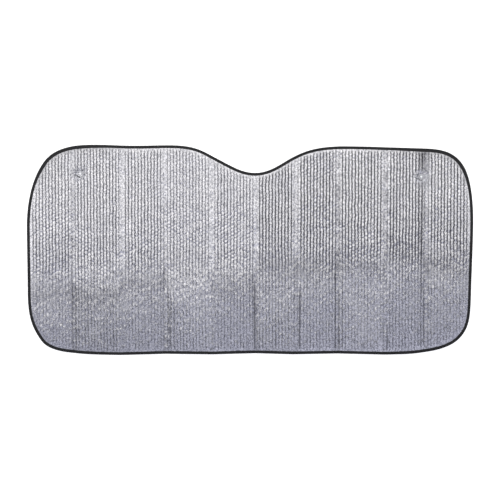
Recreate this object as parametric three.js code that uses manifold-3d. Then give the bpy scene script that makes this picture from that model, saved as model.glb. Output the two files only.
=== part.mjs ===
// Windscreen sunshade: a zigzag-folded sheet of silver bubble foil with a mirror notch,
// a woven tape bound round its edge, and a clear suction cup near each upper corner.
// Millimetres. The sheet lies on the floor with its bubbled side up: +X right, +Y towards
// the notched edge, +Z up. The origin is under the middle of the outline, at floor level.

import * as THREE from "three";
import * as BufferGeometryUtils from "three/addons/utils/BufferGeometryUtils.js";
import Module from "manifold-3d";

const wasm = await Module();
wasm.setup();

// Outline, bound edge included.
const HALF_WIDTH = 640;
const HALF_DEPTH = 302.5;
const CURVE_STEPS = 9;

// Folds: ten panels, and how far each crease is off their even spacing.
const PANEL_WIDTH = HALF_WIDTH / 5;
const CREASE_DRIFT = [4, 10, 11, 18, 16, -5, -3, 4, -8];
const FOLD_HEIGHT = 22;
const OUTER_VALLEY_LIFT = 1.6;
const CREASE_FLAT = 5;
const CREASE_BARE = 5.5;

// Bubble foil.
const RIB_PITCH = 9.27;
const RIB_LAND = 1.6;
const BUBBLE_HEIGHT = 4;
const LAND_THICKNESS = 1.4;
const CREASE_THICKNESS = 1.8;
const RIM_WIDTH = 8;

// Edge tape.
const TAPE_WIDTH = 9;
const TAPE_THICKNESS = 0.8;
const PRESSED_THICKNESS = 1;
const GAP = 0.3;

// Suction cups.
const CUP_LEFT = { x: 153 - HALF_WIDTH, y: HALF_DEPTH - 83.5 };
const CUP_RIGHT = { x: HALF_WIDTH - 149, y: HALF_DEPTH - 91.5 };
const CUP_RADIUS = 19;
const CUP_RIM = 1.8;
const CUP_HEIGHT = 9.5;
const BOSS_RADIUS = 6.2;
const BOSS_HEIGHT = 2;
const CUP_WALL = 1.6;
const NECK_RADIUS = 3.2;
const HEAD_RADIUS = 6.2;
const HEAD_THICKNESS = 1.5;
const SEAT_THICKNESS = 1.2;
const SEAT_RADIUS = 9;
const SEAT_SLOPE = 5;
const CUP_SIDES = 40;

// Fits worked out from the sizes above.
const TONGUE_LOW = TAPE_THICKNESS + GAP;
const TONGUE_HIGH = TONGUE_LOW + PRESSED_THICKNESS;
const TAPE_HIGH = TONGUE_HIGH + GAP + TAPE_THICKNESS;
const RIM_START = TAPE_WIDTH + GAP;
const FIELD_START = RIM_START + RIM_WIDTH;

// Materials.
const FOIL = { color: 0xb9bac0, roughness: 0.28, metalness: 1 };
const TAPE = { color: 0x18181a, roughness: 0.9, metalness: 0 };
const CLEAR_PVC = { color: 0xe6eaec, roughness: 0.15, metalness: 0, transparent: true, opacity: 0.5 };

// Stations round the outline, clockwise: place as shares of the half width and half depth,
// heading in degrees, and the curve handles before and after it as shares of the half depth.
const STATIONS = [
  { x: -1, y: 0.2093, heading: 90, before: 0.199, after: 0.259 },
  { x: -0.9239, y: 0.8346, heading: 54.7, before: 0.183, after: 0.186 },
  { x: -0.6875, y: 1, heading: 0, before: 0.183, after: 0.15 },
  { x: -0.4984, y: 0.9907, heading: 0, before: 0.15, after: 0.1 },
  { x: -0.3594, y: 0.994, heading: 0, before: 0.1, after: 0.256 },
  { x: -0.1458, y: 0.8674, heading: -28.1, before: 0.15, after: 0.173 },
  { x: 0.0234, y: 0.7319, heading: 0, before: 0.12, after: 0.123 },
  { x: 0.1697, y: 0.8561, heading: 31.2, before: 0.106, after: 0.189 },
  { x: 0.4352, y: 0.9844, heading: 0, before: 0.266, after: 0.249 },
  { x: 0.7855, y: 0.9635, heading: -2, before: 0.249, after: 0.159 },
  { x: 0.9531, y: 0.809, heading: -56.9, before: 0.148, after: 0.164 },
  { x: 1, y: 0.2658, heading: -90, before: 0.13, after: 0.216 },
  { x: 0.9928, y: -0.403, heading: -91, before: 0.216, after: 0.244 },
  { x: 0.9414, y: -0.845, heading: -133.2, before: 0.14, after: 0.143 },
  { x: 0.6731, y: -0.996, heading: 180, before: 0.259, after: 0.432 },
  { x: 0.0266, y: -0.992, heading: 180, before: 0.432, after: 0.465 },
  { x: -0.6375, y: -1, heading: 180, before: 0.465, after: 0.279 },
  { x: -0.9388, y: -0.8665, heading: 125.3, before: 0.156, after: 0.183 },
  { x: -0.9983, y: -0.3837, heading: 90, before: 0.213, after: 0.199 },
].map((share) => ({
  x: share.x * HALF_WIDTH,
  y: share.y * HALF_DEPTH,
  heading: share.heading,
  before: share.before * HALF_DEPTH,
  after: share.after * HALF_DEPTH,
}));

// The end of a station's handle: before it when way is -1, after it when way is 1.
function handle(station, way) {
  const turn = THREE.MathUtils.degToRad(station.heading);
  const reach = way < 0 ? -station.before : station.after;
  return { x: station.x + reach * Math.cos(turn), y: station.y + reach * Math.sin(turn) };
}

// The smooth closed curve through the stations, as points.
function outlinePoints() {
  const shape = new THREE.Shape();
  shape.moveTo(STATIONS[0].x, STATIONS[0].y);
  STATIONS.forEach((station, i) => {
    const next = STATIONS[(i + 1) % STATIONS.length];
    const a = handle(station, 1);
    const b = handle(next, -1);
    shape.bezierCurveTo(a.x, a.y, b.x, b.y, next.x, next.y);
  });
  const points = shape.getPoints(CURVE_STEPS);
  points.pop();
  return points;
}

// A line moved sideways, to the left of its direction, by a distance.
function offset(points, distance, closed) {
  const count = points.length;
  return points.map((point, i) => {
    const before = points[closed ? (i + count - 1) % count : Math.max(i - 1, 0)];
    const after = points[closed ? (i + 1) % count : Math.min(i + 1, count - 1)];
    const into = point.clone().sub(before);
    const out = after.clone().sub(point);
    if (into.length() === 0) {
      into.copy(out);
    }
    if (out.length() === 0) {
      out.copy(into);
    }
    into.normalize();
    out.normalize();
    const normal = new THREE.Vector2(-into.y - out.y, into.x + out.x);
    return point.clone().add(normal.multiplyScalar(distance / (1 + into.dot(out))));
  });
}

const OUTLINE = outlinePoints();

// The underside of the folded sheet in X and Z: a narrow flat at each crease.
const CREASES = CREASE_DRIFT.map((drift, i) => {
  const ridge = i % 2 === 1;
  const outer = i === 0 || i === CREASE_DRIFT.length - 1;
  const x = (i - 4) * PANEL_WIDTH + drift;
  return { x, z: ridge ? FOLD_HEIGHT : outer ? OUTER_VALLEY_LIFT : 0 };
});
const END_SPARE = 10;
const END_REACH = HALF_WIDTH + END_SPARE;

function foldLine() {
  const ends = [CREASES[0], CREASES.at(-1)].map((valley) => {
    const run = END_REACH - Math.abs(valley.x);
    const panel = HALF_WIDTH - Math.abs(valley.x);
    return valley.z + (FOLD_HEIGHT - valley.z) * run / panel;
  });
  const line = [new THREE.Vector2(-END_REACH, ends[0])];
  for (const crease of CREASES) {
    line.push(new THREE.Vector2(crease.x - CREASE_FLAT / 2, crease.z));
    line.push(new THREE.Vector2(crease.x + CREASE_FLAT / 2, crease.z));
  }
  line.push(new THREE.Vector2(END_REACH, ends[1]));
  return line;
}

const UNDERSIDE = foldLine();

// The top of the sheet: a row of rounded bubble columns on each panel, none at a crease.
function ribbedTop() {
  const top = offset(UNDERSIDE, CREASE_THICKNESS, false);
  const line = [];
  for (let i = 0; i < UNDERSIDE.length; i += 2) {
    const start = UNDERSIDE[i];
    const along = UNDERSIDE[i + 1].clone().sub(start);
    const length = along.length();
    along.normalize();
    const up = new THREE.Vector2(-along.y, along.x);
    const at = (u, v) => start.clone().addScaledVector(along, u).addScaledVector(up, v);
    const count = Math.floor((length - 2 * CREASE_BARE) / RIB_PITCH);
    const first = (length - count * RIB_PITCH) / 2;
    const half = (RIB_PITCH - RIB_LAND) / 2;
    const rise = BUBBLE_HEIGHT - LAND_THICKNESS;
    line.push(top[i]);
    for (let k = 0; k < count; k += 1) {
      const middle = first + (k + 0.5) * RIB_PITCH;
      line.push(at(middle - half, LAND_THICKNESS));
      line.push(at(middle - half * 0.72, LAND_THICKNESS + rise * 0.72));
      line.push(at(middle - half * 0.3, BUBBLE_HEIGHT));
      line.push(at(middle + half * 0.3, BUBBLE_HEIGHT));
      line.push(at(middle + half * 0.72, LAND_THICKNESS + rise * 0.72));
      line.push(at(middle + half, LAND_THICKNESS));
    }
    line.push(top[i + 1]);
  }
  return line;
}

// Solids.
function solid(geometry) {
  const bare = geometry.clone();
  bare.deleteAttribute("normal");
  bare.deleteAttribute("uv");
  const merged = BufferGeometryUtils.mergeVertices(bare, 1e-4);
  const vertProperties = new Float32Array(merged.attributes.position.array);
  const triVerts = new Uint32Array(merged.index.array);
  return new wasm.Manifold(new wasm.Mesh({ numProp: 3, vertProperties, triVerts }));
}

function extrude(points, depth) {
  return new THREE.ExtrudeGeometry(new THREE.Shape(points), { depth, bevelEnabled: false, steps: 1 });
}

// A block with the outline moved inwards by a distance, well past the sheet's faces.
function block(inset) {
  const loop = inset > 0 ? offset(OUTLINE, -inset, true) : OUTLINE;
  const height = 4 * FOLD_HEIGHT;
  return solid(extrude(loop, height).translate(0, 0, -FOLD_HEIGHT));
}

// A folded web between two lines in X and Z, running the whole depth of the sheet.
function web(low, high) {
  const depth = 2 * HALF_DEPTH + 20;
  const geometry = extrude([...low, ...high.slice().reverse()], depth);
  return solid(geometry.rotateX(Math.PI / 2).translate(0, depth / 2, 0));
}

function level(distance) {
  return offset(UNDERSIDE, distance, false);
}

// The place of a cup on the underside of its panel.
function panelMatrix(spot) {
  const next = UNDERSIDE.findIndex((point) => point.x > spot.x);
  const low = UNDERSIDE[next - 1];
  const high = UNDERSIDE[next];
  const slope = (high.y - low.y) / (high.x - low.x);
  const z = low.y + slope * (spot.x - low.x);
  const matrix = new THREE.Matrix4().makeRotationY(-Math.atan(slope));
  return matrix.setPosition(spot.x, spot.y, z);
}

// A body turned about its own Z axis from a path in radius and height.
function turned(path, sides) {
  return new THREE.LatheGeometry(path.getPoints(5), sides).rotateX(Math.PI / 2);
}

function cupSeatCutter(spot) {
  const past = 20;
  const seat = new THREE.Path();
  seat.moveTo(0, -past);
  seat.lineTo(NECK_RADIUS + GAP, -past);
  seat.lineTo(NECK_RADIUS + GAP, SEAT_THICKNESS);
  seat.lineTo(SEAT_RADIUS, SEAT_THICKNESS);
  seat.lineTo(SEAT_RADIUS + SEAT_SLOPE, BUBBLE_HEIGHT + 0.5);
  seat.lineTo(SEAT_RADIUS + SEAT_SLOPE, past);
  seat.lineTo(0, past);
  return solid(turned(seat, CUP_SIDES).applyMatrix4(panelMatrix(spot)));
}

function suctionCup(spot) {
  const shoulder = SEAT_THICKNESS + GAP;
  const root = shoulder + BOSS_HEIGHT;
  const rim = shoulder + CUP_HEIGHT;
  const inner = CUP_RADIUS - CUP_RIM;
  const cup = new THREE.Path();
  cup.moveTo(0, -GAP - HEAD_THICKNESS);
  cup.lineTo(HEAD_RADIUS - 0.6, -GAP - HEAD_THICKNESS);
  cup.lineTo(HEAD_RADIUS, -GAP - HEAD_THICKNESS / 2);
  cup.lineTo(HEAD_RADIUS - 0.4, -GAP);
  cup.lineTo(NECK_RADIUS, -GAP);
  cup.lineTo(NECK_RADIUS, shoulder);
  cup.lineTo(BOSS_RADIUS, shoulder);
  cup.lineTo(BOSS_RADIUS, root);
  cup.quadraticCurveTo(CUP_RADIUS - 4, root + 1.5, CUP_RADIUS, rim - 0.6);
  cup.lineTo(CUP_RADIUS, rim);
  cup.lineTo(inner, rim);
  cup.quadraticCurveTo(CUP_RADIUS - 5, root + CUP_WALL + 1.5, BOSS_RADIUS, root + CUP_WALL);
  cup.lineTo(0, root + CUP_WALL);
  return solid(turned(cup, CUP_SIDES).applyMatrix4(panelMatrix(spot)));
}

const aboveRim = web(level(TONGUE_HIGH), level(3 * BUBBLE_HEIGHT)).subtract(block(FIELD_START));
const underTape = web(level(-BUBBLE_HEIGHT), level(TONGUE_LOW)).subtract(block(RIM_START));
const sheet = web(UNDERSIDE, ribbedTop())
  .intersect(block(TONGUE_LOW))
  .subtract(aboveRim)
  .subtract(underTape)
  .subtract(cupSeatCutter(CUP_LEFT))
  .subtract(cupSeatCutter(CUP_RIGHT));

const tapeBand = block(0).subtract(block(TAPE_WIDTH));
const channel = web(level(TAPE_THICKNESS), level(TAPE_HIGH - TAPE_THICKNESS)).intersect(block(TAPE_THICKNESS));
const tape = web(UNDERSIDE, level(TAPE_HIGH)).intersect(tapeBand).subtract(channel);

function mesh(name, body, look) {
  const result = body.getMesh();
  const geometry = new THREE.BufferGeometry();
  geometry.setAttribute("position", new THREE.BufferAttribute(new Float32Array(result.vertProperties), 3));
  geometry.setIndex(new THREE.BufferAttribute(new Uint32Array(result.triVerts), 1));
  geometry.computeVertexNormals();
  const object = new THREE.Mesh(geometry, new THREE.MeshStandardMaterial(look));
  object.name = name;
  return object;
}

const group = new THREE.Group();
group.name = "windscreen_sunshade";
group.add(mesh("bubble_foil_sheet", sheet, FOIL));
group.add(mesh("edge_binding", tape, TAPE));
group.add(mesh("suction_cup_left", suctionCup(CUP_LEFT), CLEAR_PVC));
group.add(mesh("suction_cup_right", suctionCup(CUP_RIGHT), CLEAR_PVC));

export default group;
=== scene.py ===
"""Looks of a folding bubble-foil windscreen sunshade lying spread on a pale floor.

Shapes are worked out flat, in millimetres: x along the long side, y towards the edge with the
mirror notch, and w as the height above the underside film. Fold.place() then folds them into
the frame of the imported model, in metres.
"""

import logging
import math
from dataclasses import astuple, dataclass, field
from enum import Enum

import bmesh
import bpy
import numpy as np
from mathutils import Matrix, Vector, kdtree, noise


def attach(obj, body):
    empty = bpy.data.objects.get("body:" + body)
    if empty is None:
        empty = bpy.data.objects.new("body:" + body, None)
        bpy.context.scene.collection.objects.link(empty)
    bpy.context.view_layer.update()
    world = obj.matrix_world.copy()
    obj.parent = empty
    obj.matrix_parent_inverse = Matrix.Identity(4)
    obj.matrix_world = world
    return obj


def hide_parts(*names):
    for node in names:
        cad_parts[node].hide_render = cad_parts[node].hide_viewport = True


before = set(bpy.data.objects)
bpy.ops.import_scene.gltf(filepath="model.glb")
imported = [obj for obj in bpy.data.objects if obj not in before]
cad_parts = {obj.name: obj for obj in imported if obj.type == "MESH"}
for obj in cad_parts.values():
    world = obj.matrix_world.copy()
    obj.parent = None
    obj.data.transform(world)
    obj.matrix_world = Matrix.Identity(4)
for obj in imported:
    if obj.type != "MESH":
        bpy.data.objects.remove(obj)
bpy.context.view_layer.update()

Tree = bpy.types.NodeTree
Socket = bpy.types.NodeSocket
Mesh = bmesh.types.BMesh
Vert, Edge, Face = bmesh.types.BMVert, bmesh.types.BMEdge, bmesh.types.BMFace
Array = np.ndarray
Span = tuple[float, float]
Triple = tuple[float, float, float]

LOG = logging.getLogger("sunshade")
MM = 0.001
BODY = "root"
# Half of the outline's box, in mm.
HALF_LENGTH = 640.0
HALF_DEPTH = 302.5


class Side(Enum):
    """The two faces of the sheet, by the sign of their way out."""

    BUBBLES = 1
    FILM = -1


def linear(hexed: str, alpha: float = 1.0) -> tuple[float, float, float, float]:
    """Turn an sRGB hex colour into the linear one that shaders want.

    Args:
        hexed: Colour as six hex digits.
        alpha: Alpha to go with it.

    Returns:
        Linear red, green and blue, and the alpha.
    """
    parts = (int(hexed[i : i + 2], 16) / 255 for i in (0, 2, 4))
    red, green, blue = (p / 12.92 if p <= 0.04045 else ((p + 0.055) / 1.055) ** 2.4 for p in parts)
    return red, green, blue, alpha


def add(tree: Tree, kind: str, inputs: dict | None = None, **settings) -> bpy.types.Node:
    """Add a node with its settings, and fill or link its inputs.

    Args:
        tree: Node tree that gets the node.
        kind: Blender's type name of the node.
        inputs: Value or output socket for each input, by name or number.
        settings: The node's own properties.

    Returns:
        The new node.
    """
    node = tree.nodes.new(kind)
    for name, value in settings.items():
        setattr(node, name, value)
    for key, value in (inputs or {}).items():
        if isinstance(value, Socket):
            tree.links.new(value, node.inputs[key])
        else:
            node.inputs[key].default_value = value
    return node


def calc(tree: Tree, operation: str, *values: Socket | float) -> Socket:
    """Work out an operation on values or sockets, and return the result's socket."""
    return add(tree, "ShaderNodeMath", dict(enumerate(values)), operation=operation).outputs[0]


def blend(tree: Tree, share: Socket, first: Socket | tuple, second: Socket | tuple) -> Socket:
    """Mix two colours, values or sockets, by the share of the second, and return the socket."""
    return add(tree, "ShaderNodeMix", {"Factor": share, 6: first, 7: second}, data_type="RGBA").outputs[2]


def smoothstep(low: float, high: float, value: Array) -> Array:
    """Ease from 0 at low to 1 at high."""
    t = np.clip((value - low) / (high - low), 0.0, 1.0)
    return t * t * (3.0 - 2.0 * t)


def noise_at(x: Array | float, y: Array, z: Array | float) -> Array:
    """Smooth noise, about -1 to 1, at places in space."""
    return np.array([noise.noise(Vector(place)) for place in zip(*np.broadcast_arrays(x, y, z))])


@dataclass(frozen=True)
class Waves:
    """Random waves of the film: their length each way in mm, layer of the noise, and depth."""

    length_x: float
    length_y: float
    layer: float
    depth: float = 1.0

    def at(self, x: Array, y: Array) -> Array:
        """Height of the waves at each place."""
        return self.depth * noise_at(x / self.length_x, y / self.length_y, self.layer)


@dataclass(frozen=True)
class Station:
    """A turn of the outline: place, heading in degrees, and curve handles in mm."""

    x: float
    y: float
    heading: float
    before: float
    after: float

    def handle(self, reach: float) -> Array:
        """Point on the heading line, a reach in front of the station."""
        turn = math.radians(self.heading)
        return np.array([self.x + reach * math.cos(turn), self.y + reach * math.sin(turn)])


@dataclass
class Outline:
    """The bound outline of the sheet, clockwise, in mm."""

    stations: tuple[Station, ...] = (
        Station(-640.0, 63.3, 90.0, 60.2, 78.3),
        Station(-591.3, 252.5, 54.7, 55.4, 56.3),
        Station(-440.0, 302.5, 0.0, 55.4, 45.4),
        Station(-319.0, 299.7, 0.0, 45.4, 30.2),
        Station(-230.0, 300.7, 0.0, 30.2, 77.4),
        Station(-93.3, 262.4, -28.1, 45.4, 52.3),
        Station(15.0, 221.4, 0.0, 36.3, 37.2),
        Station(108.6, 259.0, 31.2, 32.1, 57.2),
        Station(278.5, 297.8, 0.0, 80.5, 75.3),
        Station(502.7, 291.5, -2.0, 75.3, 48.1),
        Station(610.0, 244.7, -56.9, 44.8, 49.6),
        Station(640.0, 80.4, -90.0, 39.3, 65.3),
        Station(635.4, -121.9, -91.0, 65.3, 73.8),
        Station(602.5, -255.6, -133.2, 42.4, 43.3),
        Station(430.8, -301.3, 180.0, 78.3, 130.7),
        Station(17.0, -300.1, 180.0, 130.7, 140.7),
        Station(-408.0, -302.5, 180.0, 140.7, 84.4),
        Station(-600.8, -262.1, 125.3, 47.2, 55.4),
        Station(-638.9, -116.1, 90.0, 64.4, 60.2),
    )
    sample_mm: float = 2.0
    points: Array = field(init=False)
    inward: Array = field(init=False)
    length: float = field(init=False)
    tree: kdtree.KDTree = field(init=False)

    def __post_init__(self) -> None:
        """Sample the curve evenly and index the samples."""
        self.points, self.inward, self.length = self.even(self.sample_mm)
        self.tree = kdtree.KDTree(len(self.points))
        for i, point in enumerate(self.points):
            self.tree.insert((point[0], point[1], 0.0), i)
        self.tree.balance()

    def curve(self, steps: int = 60) -> Array:
        """Points of the closed curve, uneven along it."""
        t = np.linspace(0.0, 1.0, steps, endpoint=False)[:, None]
        spans = []
        for here, there in zip(self.stations, self.stations[1:] + self.stations[:1]):
            a, b = here.handle(0.0), here.handle(here.after)
            c, d = there.handle(-there.before), there.handle(0.0)
            spans.append((1 - t) ** 3 * a + 3 * t * (1 - t) ** 2 * b + 3 * t * t * (1 - t) * c + t**3 * d)
        return np.vstack(spans)

    def even(self, pitch: float) -> tuple[Array, Array, float]:
        """Sample the outline at an even spacing.

        Args:
            pitch: Wanted spacing in mm, rounded so that it closes.

        Returns:
            Points, inward unit normals, and the outline's whole length.
        """
        curve = self.curve()
        closed = np.vstack([curve, curve[:1]])
        run = np.concatenate([[0.0], np.cumsum(np.linalg.norm(np.diff(closed, axis=0), axis=1))])
        count = int(round(run[-1] / pitch))
        at = np.arange(count) * run[-1] / count
        points = np.column_stack([np.interp(at, run, closed[:, k]) for k in (0, 1)])
        along = np.roll(points, -1, axis=0) - np.roll(points, 1, axis=0)
        along /= np.linalg.norm(along, axis=1)[:, None]
        return points, np.column_stack([along[:, 1], -along[:, 0]]), float(run[-1])

    def inset(self, places: Array) -> tuple[Array, Array]:
        """Measure how far inside the outline places are.

        Args:
            places: Rows of x and y in mm.

        Returns:
            The inset distance of each, negative outside, and the inward normal beside it.
        """
        near = np.array([self.tree.find((p[0], p[1], 0.0))[1] for p in places])
        normal = self.inward[near]
        return ((places - self.points[near]) * normal).sum(axis=1), normal

    @staticmethod
    def corner_share(x: Array, y: Array) -> Array:
        """How far places are into a corner, as a share that is 1 at a corner of the box."""
        return np.abs(x * y) / (HALF_LENGTH * HALF_DEPTH)


@dataclass(frozen=True)
class Fold:
    """The zigzag that the sheet lies in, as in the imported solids."""

    creases: tuple[float, ...] = (-508.0, -374.0, -245.0, -110.0, 16.0, 123.0, 253.0, 388.0, 504.0)
    band_shift: tuple[float, ...] = (-1.0, 7.0, 0.0, 0.0, 2.0, 8.0, 0.0, -1.0, 2.0)
    # Painted shade on the crushed band at each crease, as a share.
    crease_shade: tuple[float, ...] = (0.2, 0.14, 0.05, 0.12, 0.0, 0.04, 0.27, 0.28, 0.18)
    height: float = 22.0
    outer_lift: float = 1.6
    flat: float = 5.0

    def knots(self) -> tuple[Array, Array]:
        """The corners of the underside, in x and z."""
        xs, zs = [-HALF_LENGTH], [self.height]
        last = len(self.creases) - 1
        for i, crease in enumerate(self.creases):
            z = self.height if i % 2 else self.outer_lift if i in (0, last) else 0.0
            xs += [crease - self.flat / 2, crease + self.flat / 2]
            zs += [z, z]
        return np.array(xs + [HALF_LENGTH]), np.array(zs + [self.height])

    def underside(self, x: Array) -> Array:
        """Height of the underside film at x."""
        return np.interp(x, *self.knots())

    def slope(self, x: Array, reach: float = 4.0) -> Array:
        """Slope of the sheet at x, eased over the creases."""
        low = np.clip(x - reach, -HALF_LENGTH, HALF_LENGTH)
        high = np.clip(x + reach, -HALF_LENGTH, HALF_LENGTH)
        return (self.underside(high) - self.underside(low)) / (high - low)

    def from_crease(self, x: Array) -> Array:
        """Distance to the middle of the nearest crushed band."""
        bands = np.array(self.creases) + np.array(self.band_shift)
        return np.abs(np.asarray(x)[:, None] - bands[None]).min(axis=1)

    def place(self, flat: Array) -> Array:
        """Fold flat places into the frame.

        Args:
            flat: Rows of x, y and w in mm.

        Returns:
            Rows of x, y and z in metres.
        """
        x, y, w = flat[:, 0], flat[:, 1], flat[:, 2]
        angle = np.arctan(self.slope(x))
        return np.column_stack([x - w * np.sin(angle), y, self.underside(x) + w * np.cos(angle)]) * MM

    def matrix(self, x: float, y: float) -> Matrix:
        """Place and tilt of something that sits square on the panel at x and y, in metres."""
        spot = np.array([x])
        turn = Matrix.Rotation(-math.atan(float(self.slope(spot)[0])), 4, "Y")
        return Matrix.Translation((x * MM, y * MM, float(self.underside(spot)[0]) * MM)) @ turn


OUTLINE = Outline()
FOLD = Fold()


@dataclass(frozen=True)
class Finish:
    """A procedural material: its name and how strongly its nodes act."""

    name: str

    def build(self) -> bpy.types.Material:
        """Make the material."""
        made = bpy.data.materials.new(self.name)
        made.use_nodes = True
        tree = made.node_tree
        tree.nodes.clear()
        shader = add(tree, "ShaderNodeBsdfPrincipled", self.surface(tree)).outputs[0]
        add(tree, "ShaderNodeOutputMaterial", {"Surface": shader})
        return made

    def surface(self, tree: Tree) -> dict:
        """Add the surface's nodes and return the inputs of its shader."""
        raise NotImplementedError

    @staticmethod
    def millimetres(tree: Tree) -> Socket:
        """Object coordinates with one unit to the millimetre."""
        where = add(tree, "ShaderNodeTexCoord").outputs["Object"]
        return add(
            tree, "ShaderNodeVectorMath", {0: where, 1: (1000.0, 1000.0, 1000.0)}, operation="MULTIPLY"
        ).outputs[0]

    @staticmethod
    def grain(tree: Tree, where: Socket, size_mm: float, **more: float) -> Socket:
        """Noise with a grain of some millimetres, and more inputs by their names."""
        inputs = {"Vector": where, "Scale": 1 / size_mm, **more}
        return add(tree, "ShaderNodeTexNoise", inputs).outputs["Fac"]

    @staticmethod
    def remap(tree: Tree, value: Socket, span: Span, out: Span) -> Socket:
        """Stretch one span of values over another, clamped."""
        inputs = {"Value": value, 1: span[0], 2: span[1], 3: out[0], 4: out[1]}
        return add(tree, "ShaderNodeMapRange", inputs, clamp=True).outputs[0]

    @staticmethod
    def bump(tree: Tree, height: Socket, depth_mm: float) -> Socket:
        """A normal tipped by a height of some millimetres."""
        inputs = {"Strength": 1.0, "Distance": depth_mm * MM, "Height": height}
        return add(tree, "ShaderNodeBump", inputs).outputs[0]


@dataclass(frozen=True)
class MetallisedFilm(Finish):
    """Vacuum-metallised polyester film on blown bubbles: mirror-bright, finely crinkled."""

    name: str = "metallised_polyester_film"
    tone: str = "F4F2F6"
    shadow_tone: str = "DCDCE2"
    roughness: Span = (0.16, 0.34)
    crinkle_mm: float = 3.6
    crinkle_depth_mm: float = 0.2
    buckle_mm: float = 6.5
    haze_mm: float = 60.0
    speck_mm: float = 4.2
    speck_tone: str = "A4A4AA"
    # Painted shade: the vertex layer that holds its share, its dark tone, and how sharply it sets in.
    painted_shade_layer: str = "painted_shade"
    painted_shade_tone: str = "46464C"
    painted_shade_sharpness: float = 1.3

    def surface(self, tree: Tree) -> dict:
        """Crinkles of a few millimetres under broad patches of haze."""
        where = self.millimetres(tree)
        haze = self.grain(tree, where, self.haze_mm, Detail=3.0, Roughness=0.6)
        crinkle = self.grain(tree, where, self.crinkle_mm, Detail=3.0, Roughness=0.55, Distortion=0.6)
        # Sharp little creases, where the film buckled as it was laminated.
        buckle = add(
            tree,
            "ShaderNodeTexVoronoi",
            {"Vector": where, "Scale": 1 / self.buckle_mm, "Randomness": 1.0},
            feature="DISTANCE_TO_EDGE",
        ).outputs["Distance"]
        ridge = self.remap(tree, buckle, (0.0, 0.08), (0.0, 0.5))
        height = calc(tree, "ADD", crinkle, ridge)
        colour = blend(tree, haze, linear(self.tone), linear(self.shadow_tone))
        # Scuffed specks, where the metal layer is thin.
        speck = self.grain(tree, where, self.speck_mm, Detail=2.0, Roughness=0.6)
        speck = self.remap(tree, speck, (0.38, 0.64), (0.0, 1.0))
        colour = blend(tree, speck, colour, linear(self.speck_tone))
        # Painted shade from the sheet's vertex layer: dark gaps between the columns, dark flanks, darker
        # bands and creases, and dark rings round the cups.
        painted_shade = add(tree, "ShaderNodeAttribute", attribute_name=self.painted_shade_layer).outputs["Fac"]
        painted_shade = calc(tree, "POWER", painted_shade, self.painted_shade_sharpness)
        return {
            "Base Color": blend(tree, painted_shade, colour, linear(self.painted_shade_tone)),
            "Metallic": 1.0,
            "Roughness": self.remap(tree, haze, (0.3, 0.7), self.roughness),
            "Normal": self.bump(tree, height, self.crinkle_depth_mm),
        }


@dataclass(frozen=True)
class WovenTape(Finish):
    """Black polyester grosgrain: dull, with ribs across the tape and a soft sheen."""

    name: str = "woven_polyester_tape"
    dark: str = "141416"
    light: str = "2A2A2E"
    rib_mm: float = 1.1
    rib_depth_mm: float = 0.12
    thread_mm: float = 0.7
    fluff_mm: float = 9.0

    @staticmethod
    def bands(tree: Tree, where: Socket, axis: str, spacing_mm: float, distortion: float) -> Socket:
        """Even bands square to an axis of the tape's map, which has a metre to the unit."""
        scale = 2 * math.pi / (20 * spacing_mm * MM)
        inputs = {"Vector": where, "Scale": scale, "Distortion": distortion, "Detail": 1.0}
        return add(tree, "ShaderNodeTexWave", inputs, bands_direction=axis).outputs["Fac"]

    def surface(self, tree: Tree) -> dict:
        """Ribs and threads on the tape's own map, along and across it."""
        where = add(tree, "ShaderNodeUVMap", uv_map="tape").outputs[0]
        # Ribs are drawn at twice their real size, so that they show.
        ribs = self.bands(tree, where, "X", self.rib_mm, 0.4)
        threads = self.bands(tree, where, "Y", self.thread_mm, 0.6)
        weave = calc(tree, "MULTIPLY", ribs, threads)
        fluff = self.grain(tree, self.millimetres(tree), self.fluff_mm, Detail=4.0)
        shade = calc(tree, "MULTIPLY", weave, fluff)
        return {
            "Base Color": blend(tree, shade, linear(self.dark), linear(self.light)),
            "Roughness": 0.88,
            "Sheen Weight": 0.15,
            "Normal": self.bump(tree, weave, self.rib_depth_mm),
        }


@dataclass(frozen=True)
class SewingThread(Finish):
    """Black spun polyester thread, twisted."""

    name: str = "spun_polyester_thread"
    dark: str = "101012"
    tone: str = "1B1B1E"
    twist_depth_mm: float = 0.06

    def surface(self, tree: Tree) -> dict:
        """Fine twist as slanted bands."""
        twist = add(
            tree,
            "ShaderNodeTexWave",
            {"Vector": self.millimetres(tree), "Scale": 0.9, "Distortion": 1.0},
            bands_direction="DIAGONAL",
        ).outputs["Fac"]
        return {
            "Base Color": blend(tree, twist, linear(self.dark), linear(self.tone)),
            "Roughness": 0.7,
            "Sheen Weight": 0.2,
            "Normal": self.bump(tree, twist, self.twist_depth_mm),
        }


@dataclass(frozen=True)
class ClearPvc(Finish):
    """Soft PVC, injection moulded: clear and glossy, with a faint milky flow in it."""

    name: str = "clear_soft_pvc"
    tone: str = "EEEFF1"
    ior: float = 1.2
    alpha: float = 0.5
    flow_mm: float = 7.0
    flow_depth_mm: float = 0.12
    roughness: Span = (0.03, 0.12)

    def surface(self, tree: Tree) -> dict:
        """Slow ripples of the moulding, and haze in patches."""
        flow = self.grain(tree, self.millimetres(tree), self.flow_mm, Detail=2.0, Distortion=0.8)
        return {
            "Base Color": linear(self.tone),
            "Roughness": self.remap(tree, flow, (0.3, 0.7), self.roughness),
            "IOR": self.ior,
            "Transmission Weight": 1.0,
            "Alpha": self.alpha,
            "Normal": self.bump(tree, flow, self.flow_depth_mm),
        }


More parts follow.
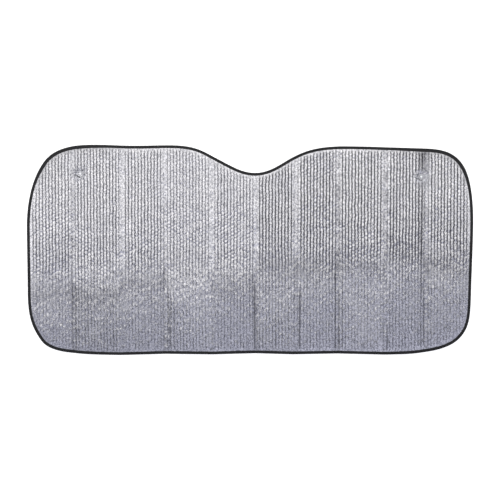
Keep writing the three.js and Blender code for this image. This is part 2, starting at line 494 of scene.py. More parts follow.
def finish_piece(
    bm: Mesh, name: str, finishes: list[Finish], nodes: tuple[str, ...] = ()
) -> bpy.types.Object:
    """Turn a bmesh into a smooth-shaded piece of the model.

    Args:
        bm: The shape, in metres. It is freed.
        name: Name of the piece.
        finishes: Materials of the piece, in slot order.
        nodes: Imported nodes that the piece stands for.

    Returns:
        The new object.
    """
    for face in bm.faces:
        face.smooth = True
    mesh = bpy.data.meshes.new(name)
    bm.to_mesh(mesh)
    bm.free()
    piece = bpy.data.objects.new(name, mesh)
    bpy.context.collection.objects.link(piece)
    for finish in finishes:
        mesh.materials.append(finish.build())
    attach(piece, BODY)
    if nodes:
        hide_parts(*nodes)
    LOG.info("%s: %d faces", name, len(mesh.polygons))
    return piece


def repeat(bm: Mesh, count: int, step: Triple) -> None:
    """Copy the whole mesh along a step.

    Args:
        bm: The mesh to repeat.
        count: How many of it there are in the end.
        step: The way from one to the next.
    """
    sizes = len(bm.verts), len(bm.edges), len(bm.faces)
    made = 1
    while made < count:
        take = min(made, count - made)
        geom = bm.verts[: take * sizes[0]] + bm.edges[: take * sizes[1]] + bm.faces[: take * sizes[2]]
        copy = bmesh.ops.duplicate(bm, geom=geom)["geom"]
        verts = [v for v in copy if isinstance(v, Vert)]
        bmesh.ops.translate(bm, verts=verts, vec=Vector(step) * made)
        made += take


def flat_places(bm: Mesh) -> Array:
    """The places of a mesh's vertices, as rows."""
    return np.array([v.co[:] for v in bm.verts])


def split_polygons(bm: Mesh) -> None:
    """Cut a mesh's larger faces into triangles."""
    bmesh.ops.triangulate(bm, faces=[f for f in bm.faces if len(f.verts) > 3])


def move_to(bm: Mesh, places: Array) -> None:
    """Move a mesh's vertices to places, given as rows."""
    for vert, place in zip(bm.verts, places):
        vert.co = place


@dataclass(frozen=True)
class CupSpot:
    """A suction cup's piece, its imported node, and where it goes through the sheet in mm."""

    piece: str
    node: str
    x: float
    y: float


CUPS = (
    CupSpot("clear_cup_left", "suction_cup_left", -487.0, 219.0),
    CupSpot("clear_cup_right", "suction_cup_right", 491.0, 211.0),
)


@dataclass(frozen=True)
class Panel:
    """A panel between two creases: its bulge, and the painted shade on its film as shares from 0 to 1.

    The slope is that of the bulge at mid-depth. Then come painted shade in the gaps between the columns,
    painted shade on the flanks of taut bubbles, the y in mm of a band of painted shade across the panel, and
    the strength of that band. The last share is painted shade all over the limp half.
    """

    slope: float
    weld_shade: float
    shaded_shoulder: float
    shade_band_y: float
    shade_band: float
    limp_shade: float


@dataclass(frozen=True)
class ShadedCreaseLine:
    """A dark line of painted shade beside a crease, in mm."""

    x: float
    top: float
    bottom: float
    strength: float
    half_width: float = 1.7

    def share(self, x: Array, y: Array) -> Array:
        """How much painted shade the line puts at each place, fading out over the ends of the line."""
        ends = smoothstep(self.bottom - 8.0, self.bottom + 8.0, y)
        ends *= 1 - smoothstep(self.top - 35.0, self.top + 15.0, y)
        return self.strength * ends * np.exp(-(((x - self.x) / self.half_width) ** 2))


@dataclass
class BubbleSheet:
    """The sheet: film blown into columns of close-packed bubbles, creased, on a flat back film.

    Lengths are in mm, and heights are counted from the back film's underside.
    """

    bubble_pitch: float = 10.7
    tilt_share: float = 0.9877
    land: float = 0.7
    crown_section: tuple[Span, ...] = ((0.0, 4.0), (3.6, 3.1), (5.53, 0.7))
    neck_section: tuple[Span, ...] = ((0.0, 3.7), (2.6, 2.8), (3.73, 0.7))
    edge_inset: float = 1.6
    hole_radius: float = 2.7
    seat_thickness: float = 1.2
    neck_sink: float = 0.6
    limp_height: float = 2.6
    limp_share: float = 0.58
    rim_height: float = 1.15
    margin: float = 3.5
    back_limit: float = 0.3
    crushed_reach: Span = (4.0, 10.0)
    panels: tuple[Panel, ...] = (
        Panel(0.028, 0.8, 0.0, -125.0, 0.22, 0.12),
        Panel(-0.010, 0.75, 0.0, -130.0, 0.22, 0.15),
        Panel(-0.007, 0.75, 0.0, -95.0, 0.2, 0.15),
        Panel(-0.036, 0.5, 0.0, -85.0, 0.12, 0.0),
        Panel(-0.028, 0.55, 0.0, -100.0, 0.15, 0.14),
        Panel(0.018, 0.95, 0.3, -45.0, 0.25, 0.1),
        Panel(-0.010, 1.0, 0.25, -50.0, 0.3, 0.08),
        Panel(0.042, 1.0, 0.25, -42.0, 0.25, 0.05),
        Panel(-0.005, 0.9, 0.2, -15.0, 0.22, 0.0),
        Panel(-0.018, 1.0, 0.22, -42.0, 0.3, 0.12),
    )
    shaded_crease_lines: tuple[ShadedCreaseLine, ...] = tuple(
        ShadedCreaseLine(*row)
        for row in (
            (-511.0, 60.0, -290.0, 0.4),
            (-247.5, 150.0, -70.0, 0.6),
            (-231.0, -150.0, -290.0, 0.8),
            (-217.0, -165.0, -290.0, 0.7),
            (13.5, -90.0, -295.0, 1.0),
            (142.0, -100.0, -285.0, 0.9),
            (245.5, -60.0, -290.0, 0.45),
            (255.5, -90.0, -285.0, 0.4),
            (267.0, -70.0, -290.0, 0.55),
            (394.0, -210.0, -290.0, 0.8),
            (491.0, 60.0, -275.0, 0.7),
            (500.0, 0.0, -270.0, 0.6),
            (491.0, 300.0, 20.0, 0.28, 11.0),
        )
    )
    dark_patch: Span = (497.0, 262.0)
    dark_patch_reach: Span = (17.0, 26.0)
    crumples: Waves = Waves(3.7, 4.9, 0.0, 1.9)
    dents: Waves = Waves(3.1, 4.3, 21.0, 2.2)
    streaks: Waves = Waves(34.0, 8.5, 5.0, 0.9)
    weld_waves: Waves = Waves(6.5, 120.0, 13.0, 1.1)
    slack_waves: Waves = Waves(60.0, 75.0, 3.0, 0.5)
    sway: Waves = Waves(60.0, 28.0, 17.0, 1.5)
    knot_patches: tuple[Waves, Waves] = (Waves(130.0, 110.0, 7.0), Waves(24.0, 38.0, 27.0, 0.7))
    limp_edge: Waves = Waves(110.0, 70.0, 9.0, 60.0)
    wear_patches: Waves = Waves(90.0, 24.0, 31.0, 1.5)
    luck_size: tuple[int, int, int] = (400, 200, 4)
    seed: int = 11
    film: MetallisedFilm = MetallisedFilm()

    @property
    def column_pitch(self) -> float:
        """Spacing of the bubble columns, seen from above."""
        return self.bubble_pitch * math.sqrt(3) / 2 * self.tilt_share

    @property
    def rows(self) -> int:
        """How many bubbles a column has."""
        return math.ceil(2 * (HALF_DEPTH + self.margin) / self.bubble_pitch) + 1

    @property
    def pairs(self) -> int:
        """How many pairs of columns there are."""
        return math.ceil(HALF_LENGTH / self.column_pitch) + 1

    @property
    def origin(self) -> Triple:
        """Middle of the first bubble of the first column."""
        return -(self.pairs - 0.5) * self.column_pitch, -(self.rows - 0.5) * self.bubble_pitch / 2, 0

    def bubble(self) -> Mesh:
        """One bubble of a column, from the middle of one neck to the middle of the next."""
        bm = bmesh.new()
        bmesh.ops.create_grid(bm, x_segments=4, y_segments=2, size=1.0)
        for vert in bm.verts:
            section = self.neck_section if abs(vert.co.y) > 0.5 else self.crown_section
            reach, height = section[round(2 * abs(vert.co.x))]
            vert.co = (math.copysign(reach, vert.co.x), vert.co.y * self.bubble_pitch / 2, height)
        for edge in bm.edges:
            welded = all(v.co.z < self.land + 0.01 for v in edge.verts)
            edge.smooth = not welded and any(abs(v.co.y) < 1.0 for v in edge.verts)
        bm.normal_update()
        if bm.faces[:][0].normal.z < 0:
            bmesh.ops.reverse_faces(bm, faces=bm.faces[:])
        bmesh.ops.scale(bm, verts=bm.verts[:], vec=(self.tilt_share, 1, 1))
        return bm

    def lattice(self) -> Mesh:
        """Bubbles over the whole sheet, in staggered columns."""
        bm = self.bubble()
        repeat(bm, self.rows, (0, self.bubble_pitch, 0))
        copy = bmesh.ops.duplicate(bm, geom=bm.verts[:] + bm.edges[:] + bm.faces[:])["geom"]
        second = [v for v in copy if isinstance(v, Vert)]
        bmesh.ops.translate(bm, verts=second, vec=(self.column_pitch, self.bubble_pitch / 2, 0))
        repeat(bm, self.pairs, (2 * self.column_pitch, 0, 0))
        bmesh.ops.translate(bm, verts=bm.verts[:], vec=self.origin)
        return bm

    def cut_away(self, bm: Mesh, depth: Array, way: Array) -> None:
        """Remove what lies past an edge, and draw the last vertices onto it.

        Args:
            bm: Mesh of triangles.
            depth: How far each vertex is on the kept side of the edge.
            way: The unit way to the kept side, for each vertex.
        """
        bm.verts.index_update()
        past = depth < 0
        lost = [f for f in bm.faces if all(past[v.index] for v in f.verts)]
        for vert in bm.verts:
            if past[vert.index]:
                shift = -depth[vert.index] * way[vert.index]
                vert.co.x += shift[0]
                vert.co.y += shift[1]
        bmesh.ops.delete(bm, geom=lost, context="FACES")
        bmesh.ops.remove_doubles(bm, verts=[v for v in bm.verts if v.is_boundary], dist=0.02)

    def cut_outline(self, bm: Mesh) -> None:
        """Cut the lattice to the outline and round the two cup holes."""
        inset, inward = OUTLINE.inset(flat_places(bm)[:, :2])
        self.cut_away(bm, inset - self.edge_inset, inward)
        for cup in CUPS:
            spot = Vector((cup.x, cup.y, 0))
            near = [e for e in bm.edges if (e.verts[0].co.xy - spot.xy).length < 24]
            bmesh.ops.subdivide_edges(bm, edges=near, cuts=2, use_grid_fill=True)
            split_polygons(bm)
            away = flat_places(bm)[:, :2] - np.array([cup.x, cup.y])
            radius = np.maximum(np.linalg.norm(away, axis=1), 1e-6)
            self.cut_away(bm, radius - self.hole_radius, away / radius[:, None])

    def crease_cuts(self, bm: Mesh, faces: list[Face]) -> None:
        """Cut faces along the creases, so that the folds stay straight and sharp.

        Args:
            bm: The flat mesh.
            faces: Faces to cut.
        """
        pool = dict.fromkeys(faces)
        for crease in FOLD.creases:
            band = dict.fromkeys(f for f in pool if f.is_valid and self.spans(f, crease - 8, crease + 8))
            for off in (-FOLD.flat / 2, FOLD.flat / 2):
                x = crease + off
                near = [f for f in band if f.is_valid and self.spans(f, x, x)]
                edges = dict.fromkeys(e for f in near for e in f.edges)
                verts = dict.fromkeys(v for f in near for v in f.verts)
                made = bmesh.ops.bisect_plane(
                    bm, geom=[*near, *edges, *verts], dist=1e-4, plane_co=(x, 0, 0), plane_no=(1, 0, 0)
                )
                fresh = dict.fromkeys(g for g in made["geom"] if isinstance(g, Face))
                band.update(fresh)
                pool.update(fresh)

    @staticmethod
    def spans(face: Face, low: float, high: float) -> bool:
        """Whether a face reaches into a band of x."""
        xs = [v.co.x for v in face.verts]
        return min(xs) < high and max(xs) > low

    def back_film(self, bm: Mesh) -> None:
        """Close the sheet with the flat film under the bubbles."""
        rim = [e for e in bm.edges if e.is_boundary]
        made = bmesh.ops.extrude_edge_only(bm, edges=rim)["geom"]
        verts = [g for g in made if isinstance(g, Vert)]
        for vert in verts:
            vert.co.z = 0.0
        edges = [g for g in made if isinstance(g, Edge) and g.is_boundary]
        for edge in edges:
            edge.smooth = False
        filled = bmesh.ops.triangle_fill(bm, use_beauty=False, use_dissolve=False, edges=edges)["geom"]
        faces = [g for g in filled if isinstance(g, Face)]
        self.crease_cuts(bm, faces)
        split_polygons(bm)

    def cells(self, x: Array, y: Array) -> tuple[Array, Array, Array, Array]:
        """Find the bubble that each place is in.

        Args:
            x: Places along the sheet in mm.
            y: Places across it in mm.

        Returns:
            Column and row of the bubble, and the place relative to its middle.
        """
        found = []
        for shift in (0, 1):
            column = np.floor((x - self.origin[0]) / self.column_pitch) + shift
            stagger = np.mod(column, 2) * self.bubble_pitch / 2
            row = np.round((y - self.origin[1] - stagger) / self.bubble_pitch)
            dx = x - self.origin[0] - column * self.column_pitch
            dy = y - self.origin[1] - stagger - row * self.bubble_pitch
            found.append(np.stack([column, row, dx, dy]))
        left, right = found
        best = np.where(np.hypot(right[2], right[3]) < np.hypot(left[2], left[3]), right, left)
        return best[0].astype(int), best[1].astype(int), best[2], best[3]

    def heights(self, flat: Array) -> Array:
        """Work out the film's real height from the perfect lattice's.

        Args:
            flat: Rows of x, y and nominal height.

        Returns:
            Height of each place above the underside, with the film pressed, slack or crumpled.
        """
        x, y, w = flat.T
        inset, _ = OUTLINE.inset(flat[:, :2])
        crease = FOLD.from_crease(x)
        limp = self.limp(x, y)
        blown = w > self.land + 0.1
        column, row, dx, dy = self.cells(x, y)
        table = np.random.default_rng(self.seed).random(self.luck_size)
        luck = table[column % self.luck_size[0], row % self.luck_size[1]]
        fill = 0.84 + 0.16 * luck[:, 0]
        free = smoothstep(*self.crushed_reach, crease + 4.0 * noise_at(0.0, y / 55.0, x / 900.0))
        fill *= 0.16 + 0.84 * np.maximum(free, 0.25 * luck[:, 2])
        lean = (luck[:, 2] - 0.5) * dx + (luck[:, 3] - 0.5) * dy
        height = self.land + (w - self.land) * fill + 0.14 * lean * blown
        sunk = self.knotted(x, y) * smoothstep(3.9, 5.2, np.abs(dy)) * (np.abs(dx) < 3.2)
        height -= self.neck_sink * sunk
        height += self.crumples.at(x, y) * (1 - smoothstep(5.0, 13.0, crease)) * (1 - 0.6 * limp)
        height += self.streaks.at(x + y, y - 0.6 * x) * limp * blown
        height += np.maximum(self.weld_waves.at(x, y), 0.0) * (w < self.land + 0.1) * free
        height = self.limp_height + (height - self.limp_height) * (1 - self.limp_share * limp * free)
        height += self.dents.at(x, y) * (1 + 0.2 * limp) * blown
        height = self.rim_height + (height - self.rim_height) * (0.12 + 0.88 * smoothstep(8.5, 20.0, inset))
        height = np.where(inset < 10.8, np.clip(height, 0.95, 1.9), height)
        for cup in CUPS:
            radius = np.hypot(x - cup.x, y - cup.y)
            open_share = smoothstep(8.8, 14.0, radius)
            height = self.seat_thickness + (height - self.seat_thickness) * open_share
            height -= 0.9 * self.pucker(x - cup.x, y - cup.y)
        return np.maximum(height, 0.35)

    def knotted(self, x: Array, y: Array) -> Array:
        """Patches where the necks are drawn in sharply, as a share; none where the film is limp."""
        broad, fine = (waves.at(x, y) for waves in self.knot_patches)
        return smoothstep(-0.05, 0.35, broad + fine) * (1 - self.limp(x, y))

    def limp(self, x: Array, y: Array) -> Array:
        """How limp the film is, from 0 in the taut half by the notch to 1 in the other."""
        return smoothstep(20.0, 100.0, 0.04 * x - y + self.limp_edge.at(x, y))

    @staticmethod
    def pucker(dx: Array, dy: Array) -> Array:
        """The sharp pull mark below and left of a cup's hole, as a share of its depth."""
        start, end = np.array([-18.0, -2.5]), np.array([1.0, -12.5])
        along = (end - start) / np.linalg.norm(end - start)
        run = (dx - start[0]) * along[0] + (dy - start[1]) * along[1]
        across = (dy - start[1]) * along[0] - (dx - start[0]) * along[1]
        length = float(np.linalg.norm(end - start))
        ends = smoothstep(-2.0, 2.0, run) * (1 - smoothstep(length - 2.0, length + 2.0, run))
        return ends * np.exp(-((across / 1.3) ** 2))

    def slack(self, x: Array, y: Array, inset: Array) -> Array:
        """Slow waves of the panels, still at the creases and the bound edge."""
        hold = smoothstep(2.0, 30.0, FOLD.from_crease(x)) * smoothstep(10.0, 60.0, inset)
        run = y + 50.0
        slope = np.array([p.slope for p in self.panels])[np.digitize(x, FOLD.creases)]
        bulge = slope * run * np.exp(-((run / 120.0) ** 2))
        bulge += 54.0 * np.abs(slope) * np.exp(-((run / 190.0) ** 2))
        return np.maximum((self.slack_waves.at(x, y) + bulge) * hold, -0.3)

    def painted_shade_share(self, flat: Array, inset: Array) -> Array:
        """Work out the painted shade on the film: in the gaps and on the flanks of the bubbles, in bands,
        along the creases, in the corners and round the cups.

        Args:
            flat: Rows of x, y and nominal height.
            inset: How far inside the outline each place is.

        Returns:
            The share of the painted shade's dark tone at each place, from 0 to 1, and 0 on the back film.
        """
        x, y, w = flat.T
        crease = FOLD.from_crease(x)
        limp = self.limp(x, y)
        panels = np.array([astuple(p) for p in self.panels])
        _, weld_shade, flank_shade, shade_band_y, shade_band, limp_shade = panels[np.digitize(x, FOLD.creases)].T
        # Painted shade in the gaps between the bubble columns, weaker in the limp half.
        share = (1 - smoothstep(self.land, 2.6, w)) * (1 - 0.8 * smoothstep(-10.0, 75.0, 0.04 * x - y))
        share *= smoothstep(3.5, 10.0, crease) * smoothstep(8.0, 16.0, inset) * weld_shade
        # Painted shade on the steep flanks of the bubbles, in the half by the notch.
        shaded_shoulder = (w > 2.65) & (w < 3.3) & (inset > 12.0)
        share += flank_shade * shaded_shoulder * smoothstep(-20.0, 70.0, y)
        # Painted shade: a darker band across each panel, and the whole limp half darker.
        share += shade_band * np.exp(-(((y - shade_band_y) / 35.0) ** 2)) + limp_shade * limp
        # Painted shade on the crushed bands along the creases: light in the limp half, and in the taut half
        # in patches, set for each crease.
        crushed = 1 - smoothstep(*self.crushed_reach, crease)
        nearest = np.abs(x[:, None] - np.array(FOLD.creases)[None]).argmin(axis=1)
        patches = np.clip(1 + self.wear_patches.at(x, y), 0, 2)
        share += 0.15 * crushed * limp
        share += np.array(FOLD.crease_shade)[nearest] * crushed * (1 - limp) * patches
        # Dark lines of painted shade beside the creases.
        for line in self.shaded_crease_lines:
            share += line.share(x, y) * smoothstep(10.0, 16.0, inset)
        # A darker patch on the film above the right cup.
        away = [(v - c) / reach for v, c, reach in zip((x, y), self.dark_patch, self.dark_patch_reach)]
        share += 0.4 * np.exp(-(away[0] ** 2) - away[1] ** 2)
        # Painted shade on the film in the corners, beside the tape, in the half by the notch.
        corner = smoothstep(0.5, 0.65, OUTLINE.corner_share(x, y))
        share += 0.35 * corner * (1 - smoothstep(10.0, 24.0, inset)) * (1 - limp)
        # Painted shade round each cup: a dark disc and ring round its seat, and a dark line along the pull
        # mark beside it.
        for cup in CUPS:
            radius = np.hypot(x - cup.x, y - cup.y)
            share *= smoothstep(14.0, 22.0, radius)
            share += 0.35 * (1 - smoothstep(7.5, 10.0, radius)) + 0.6 * np.exp(-(((radius - 9.8) / 1.1) ** 2))
            share += 0.9 * self.pucker(x - cup.x, y - cup.y)
        return np.clip(share, 0.0, 1.0) * (w > self.back_limit)

    def soften(self, bm: Mesh, flat: Array) -> None:
        """Round the necks off where they aren't drawn in.

        Args:
            bm: The sheet's mesh.
            flat: Rows of x, y and nominal height, one for each vertex.
        """
        knotted = self.knotted(flat[:, 0], flat[:, 1])
        bm.verts.index_update()
        for edge in bm.edges:
            ends = [v.index for v in edge.verts]
            if not edge.smooth and flat[ends, 2].max() > self.land + 0.3 and knotted[ends].mean() < 0.25:
                edge.smooth = True

    def build(self) -> bpy.types.Object:
        """Make the sheet and dress it."""
        bm = self.lattice()
        bmesh.ops.triangulate(bm, faces=bm.faces[:])
        inset, _ = OUTLINE.inset(flat_places(bm)[:, :2])
        bm.verts.index_update()
        far = [f for f in bm.faces if all(inset[v.index] < self.edge_inset - 4.0 for v in f.verts)]
        bmesh.ops.delete(bm, geom=far, context="FACES")
        bmesh.ops.remove_doubles(bm, verts=bm.verts[:], dist=0.01)
        self.cut_outline(bm)
        self.crease_cuts(bm, bm.faces[:])
        split_polygons(bm)
        self.back_film(bm)
        flat = flat_places(bm)
        x, y = flat[:, 0], flat[:, 1]
        inset, _ = OUTLINE.inset(flat[:, :2])
        rim = 0.8 * (1 - smoothstep(8.0, 12.0, inset))
        height = np.where(flat[:, 2] > self.back_limit, self.heights(flat), rim)
        height += np.maximum(self.slack(x, y, inset), -0.9 * FOLD.underside(x))
        self.soften(bm, flat)
        hold = smoothstep(3.0, 18.0, FOLD.from_crease(x)) * smoothstep(4.0, 20.0, inset)
        flat[:, 0] += self.sway.at(x, y) * hold
        # The share of painted shade goes on the vertices, for the film's material.
        layer = bm.verts.layers.float.new(self.film.painted_shade_layer)
        for vert, share in zip(bm.verts, self.painted_shade_share(flat, inset)):
            vert[layer] = share
        placed = FOLD.place(np.column_stack([flat[:, :2], height]))
        placed[:, 2] = np.maximum(placed[:, 2], 0.0)
        move_to(bm, placed)
        bmesh.ops.recalc_face_normals(bm, faces=bm.faces[:])
        return finish_piece(bm, "foil_sheet", [self.film], ("bubble_foil_sheet",))


@dataclass
class EdgeTape:
    """The woven tape folded round the edge, and its line of lock stitches."""

    width: float = 8.2
    corner_spread: Span = (0.55, 0.1)
    top: float = 3.0
    cloth: float = 0.5
    pitch: float = 4.0
    stitch_pitch: float = 3.2
    stitch_half: Triple = (1.25 * MM, 0.26 * MM, 0.2 * MM)
    stitch_inset: float = 5.9
    wobble_step: int = 6
    turned: float = 5.0
    seed: int = 5
    tape: WovenTape = WovenTape()
    thread: SewingThread = SewingThread()

    def section(self) -> Array:
        """The tape's outer face from its upper selvedge, round the edge, to its lower one.

        Returns:
            Rows of inset distance and height, in mm.
        """
        top, low = self.top, 0.02
        return np.array(
            [
                (self.width, top - 0.45),
                (self.width - 0.4, top - 0.15),
                (self.width - 1.6, top - 0.05),
                (self.stitch_inset, top - 0.35),
                (4.2, top),
                (2.4, top + 0.05),
                (1.0, top - 0.25),
                (0.25, top - 0.9),
                (0.0, top * 0.5),
                (0.25, 0.85),
                (1.0, 0.25),
                (2.6, low),
                (4.2, low),
                (self.stitch_inset, low + 0.3),
                (self.width - 1.6, low),
                (self.width - 0.4, low + 0.05),
                (self.width, low + 0.35),
            ]
        )

    def build_tape(self) -> bpy.types.Object:
        """Sweep the section round the outline and give it its thickness."""
        points, inward, length = OUTLINE.even(self.pitch)
        section = self.section()
        corner = smoothstep(0.60, 0.76, OUTLINE.corner_share(points[:, 0], points[:, 1]))
        widen = 1 + np.where(points[:, 1] > 0, *self.corner_spread) * corner
        count, rows = len(points), len(section)
        run = np.concatenate([[0.0], np.cumsum(np.linalg.norm(np.diff(section, axis=0), axis=1))])
        bm = bmesh.new()
        bmesh.ops.create_grid(bm, x_segments=count, y_segments=rows - 1, size=0.5)
        bm.verts.ensure_lookup_table()
        uv = bm.loops.layers.uv.new("tape")
        grid = flat_places(bm)
        i = np.rint((grid[:, 0] + 0.5) * count).astype(int)
        j = np.rint((grid[:, 1] + 0.5) * (rows - 1)).astype(int)
        steps = np.arange(count)
        marks = np.arange(0, count + self.wobble_step, self.wobble_step)
        wobble = np.interp(steps, marks, np.random.default_rng(self.seed).normal(0, 0.16, len(marks)))
        wobble *= np.minimum(1, np.minimum(steps, count - steps) / self.wobble_step)
        hem = section[j, 0] > self.turned
        inset = section[j, 0] * (1 + 0.03 * wobble[i % count] * hem)
        inset = np.where(inset > self.turned, self.turned + (inset - self.turned) * widen[i % count], inset)
        pull = 0.10 * np.sin(2 * np.pi * i * length / count / self.stitch_pitch / 2)
        height = section[j, 1] + np.where(hem, pull, 0.0) * (section[j, 1] > self.top / 2)
        plan = points[i % count] + inward[i % count] * inset[:, None]
        for vert, a, b in zip(bm.verts, i, j):
            for loop in vert.link_loops:
                loop[uv].uv = (a * length / count * MM, run[b] * MM)
        move_to(bm, FOLD.place(np.column_stack([plan, height])))
        bmesh.ops.remove_doubles(bm, verts=bm.verts[:], dist=0.00002)
        bmesh.ops.recalc_face_normals(bm, faces=bm.faces[:])
        bmesh.ops.solidify(bm, geom=bm.faces[:], thickness=self.cloth * MM)
        bmesh.ops.recalc_face_normals(bm, faces=bm.faces[:])
        return finish_piece(bm, "edge_tape", [self.tape], ("edge_binding",))

    def build_stitches(self) -> bpy.types.Object:
        """Lay a stitch every few millimetres on both faces of the tape."""
        points, inward, _ = OUTLINE.even(self.stitch_pitch)
        ahead = np.roll(points, -1, axis=0)
        bm = bmesh.new()
        for side in Side:
            height = np.full(len(points), self.top - 0.2 if side is Side.BUBBLES else 0.22)
            offset = inward * self.stitch_inset
            start = FOLD.place(np.column_stack([points + offset, height]))
            end = FOLD.place(np.column_stack([ahead + np.roll(offset, -1, axis=0), height]))
            for a, b in zip(start, end):
                middle, along = Vector((a + b) / 2), Vector(b - a).normalized()
                turn = along.to_track_quat("X", "Z").to_matrix().to_4x4()
                matrix = Matrix.Translation(middle) @ turn @ Matrix.Diagonal((*self.stitch_half, 1))
                bmesh.ops.create_icosphere(bm, subdivisions=1, radius=1, matrix=matrix)
        return finish_piece(bm, "tape_stitching", [self.thread])


@dataclass
class SuctionCup:
    """A clear suction cup, dish up, with its button head under the sheet."""

    spot: CupSpot
    steps: int = 64
    pvc: ClearPvc = ClearPvc()

    def profile(self) -> list[Span]:
        """Radius and height of the turned section, from the head's underside to the dish."""
        return [
            (0.0, -1.75), (4.4, -1.75), (5.6, -1.55), (6.15, -1.1), (5.9, -0.65), (5.2, -0.42),
            (3.2, -0.36), (2.55, -0.1), (2.4, 0.9), (2.8, 1.4), (4.0, 1.55), (5.6, 1.58), (6.15, 1.85),
            (6.2, 2.6), (6.35, 3.3), (7.3, 3.85), (9.6, 4.45), (12.4, 5.6), (14.8, 7.1), (16.9, 8.8),
            (18.3, 10.1), (18.95, 10.75), (19.0, 10.98), (18.6, 11.0), (17.5, 10.98), (17.15, 10.7),
            (16.3, 9.85), (14.2, 8.1), (12.5, 7.0), (12.2, 6.95), (11.9, 6.65), (9.4, 5.7), (7.0, 5.2),
            (6.3, 5.3), (5.9, 5.55), (5.2, 5.6), (4.8, 5.3), (2.2, 5.2), (1.1, 5.25), (0.9, 5.55), (0.0, 5.6),
        ]  # fmt: skip

    def build(self) -> bpy.types.Object:
        """Turn the section, set it on its panel and dress it."""
        bm = bmesh.new()
        verts = [bm.verts.new((r, 0, w)) for r, w in self.profile()]
        geom = verts + [bm.edges.new(pair) for pair in zip(verts, verts[1:])]
        turn = {"cent": (0, 0, 0), "axis": (0, 0, 1), "angle": 2 * math.pi, "steps": self.steps}
        bmesh.ops.spin(bm, geom=geom, use_merge=True, **turn)
        bmesh.ops.remove_doubles(bm, verts=bm.verts[:], dist=0.002)
        bmesh.ops.recalc_face_normals(bm, faces=bm.faces[:])
        bmesh.ops.scale(bm, verts=bm.verts[:], vec=(MM, MM, MM))
        bmesh.ops.transform(bm, verts=bm.verts[:], matrix=FOLD.matrix(self.spot.x, self.spot.y))
        return finish_piece(bm, self.spot.piece, [self.pvc], (self.spot.node,))


@dataclass(frozen=True)
class Softbox:
    """A rectangular studio light that faces straight down and shows only in reflections."""

    name: str
    place: Triple
    size: Span
    radiance: float
    tone: str = "FFFFFF"
    turn: float = 0.0

    def build(self) -> None:
        """Make the light, with its power worked out from its radiance and area."""
        light = bpy.data.lights.new(self.name, "AREA")
        light.shape = "RECTANGLE"
        light.size, light.size_y = self.size
        light.energy = self.radiance * math.pi * self.size[0] * self.size[1]
        light.color = linear(self.tone)[:3]
        lamp = bpy.data.objects.new(self.name, light)
        lamp.location = self.place
        lamp.rotation_euler.z = math.radians(self.turn)
        lamp.visible_camera = False
        bpy.context.collection.objects.link(lamp)


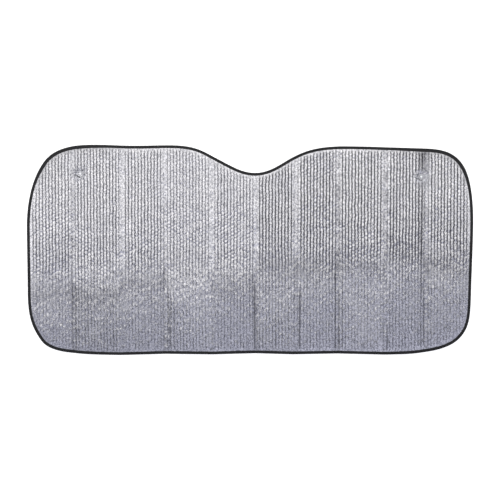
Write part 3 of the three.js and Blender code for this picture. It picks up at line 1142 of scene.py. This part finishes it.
@dataclass
class Studio:
    """Floor, lights, surroundings and camera."""

    floor_size: float = 14.0
    floor_drop: float = 0.0005
    floor_glow: float = 0.75
    floor_tone: str = "F0F0F0"
    camera_distance: float = 6.5
    camera_lean: float = 4.5
    camera_aim: float = 0.011
    sensor_mm: float = 36.0
    frame_width: float = 1.437
    surround: str = "94969E"
    side_surround: str = "5E6068"
    lights: tuple[Softbox, ...] = (
        Softbox("long_softbox", (0.0, 0.76, 0.7), (4.2, 1.73), 1.04, "FCFBF5", turn=5.5),
        Softbox("left_softbox", (-0.45, 0.45, 0.7), (1.7, 1.3), 0.22, "FCFBF5", turn=3.0),
        Softbox("edge_strip", (-0.33, -0.05, 0.7), (1.36, 0.13), 1.1, "FCFBF5", turn=4.0),
        Softbox("centre_softbox", (-0.1, 0.45, 0.7), (1.4, 1.12), 0.4, "FCFBF5"),
        Softbox("low_fill", (0.5, -1.35, 1.9), (5.4, 2.1), 0.295, "E9EBFF"),
        Softbox("right_fill", (0.7, -0.75, 0.7), (1.8, 1.1), 0.12, "E9EBFF"),
        Softbox("rim_card", (0.0, -1.1, 1.9), (4.4, 0.7), 0.4, "F0F0F8"),
        Softbox("front_card", (0.0, -2.1, 1.5), (4.4, 1.7), 0.4, "F0F0F8"),
    )

    def floor(self) -> None:
        """A pale floor that shows white and keeps the object's shadow."""
        bm = bmesh.new()
        bmesh.ops.create_grid(bm, x_segments=1, y_segments=1, size=self.floor_size / 2)
        mesh = bpy.data.meshes.new("studio_floor")
        bm.to_mesh(mesh)
        bm.free()
        floor = bpy.data.objects.new("studio_floor", mesh)
        floor.location.z = -self.floor_drop
        bpy.context.collection.objects.link(floor)
        paper = bpy.data.materials.new("matt_white_paper")
        paper.use_nodes = True
        tree = paper.node_tree
        tree.nodes.clear()
        path = add(tree, "ShaderNodeLightPath").outputs
        seen = path["Is Camera Ray"]
        for ray in ("Is Glossy Ray", "Is Transmission Ray"):
            seen = calc(tree, "MAXIMUM", seen, path[ray])
        glow = calc(tree, "MULTIPLY", seen, self.floor_glow)
        white = add(tree, "ShaderNodeEmission", {"Color": (1, 1, 1, 1), "Strength": glow}).outputs[0]
        matt = add(tree, "ShaderNodeBsdfDiffuse", {"Color": linear(self.floor_tone)}).outputs[0]
        both = add(tree, "ShaderNodeAddShader", {0: white, 1: matt}).outputs[0]
        add(tree, "ShaderNodeOutputMaterial", {"Surface": both})
        mesh.materials.append(paper)

    def world(self) -> None:
        """Grey surroundings, darker to the left and right than ahead and behind."""
        world = bpy.data.worlds.new("studio_room")
        world.use_nodes = True
        tree = world.node_tree
        way = add(tree, "ShaderNodeTexCoord").outputs["Generated"]
        side = add(tree, "ShaderNodeSeparateXYZ", {0: way}).outputs["X"]
        share = calc(tree, "ABSOLUTE", side)
        mix = blend(tree, share, linear(self.surround), linear(self.side_surround))
        tree.links.new(mix, tree.nodes["Background"].inputs["Color"])
        bpy.context.scene.world = world

    def camera(self) -> None:
        """A long lens straight above, leaning a little towards the notched edge."""
        lens = bpy.data.cameras.new("camera")
        lens.sensor_fit = "HORIZONTAL"
        lens.sensor_width = self.sensor_mm
        lens.lens = self.sensor_mm * self.camera_distance / self.frame_width
        lens.clip_end = 50.0
        camera = bpy.data.objects.new("camera", lens)
        lean = math.radians(self.camera_lean)
        aim = Vector((0.0, 0.0, self.camera_aim))
        camera.location = aim + Vector((0.0, math.sin(lean), math.cos(lean))) * self.camera_distance
        camera.rotation_euler = (-lean, 0.0, 0.0)
        bpy.context.collection.objects.link(camera)
        bpy.context.scene.camera = camera

    def build(self) -> None:
        """Set the scene round the object."""
        self.floor()
        self.world()
        self.camera()
        for light in self.lights:
            light.build()
        bpy.context.scene.view_settings.view_transform = "Standard"


def main() -> None:
    """Build every piece, then the studio, and note the sizes."""
    logging.basicConfig(level=logging.INFO, format="%(name)s %(message)s")
    BubbleSheet().build()
    tape = EdgeTape()
    tape.build_tape()
    tape.build_stitches()
    for spot in CUPS:
        SuctionCup(spot).build()
    Studio().build()


if __name__ == "__main__":
    main()
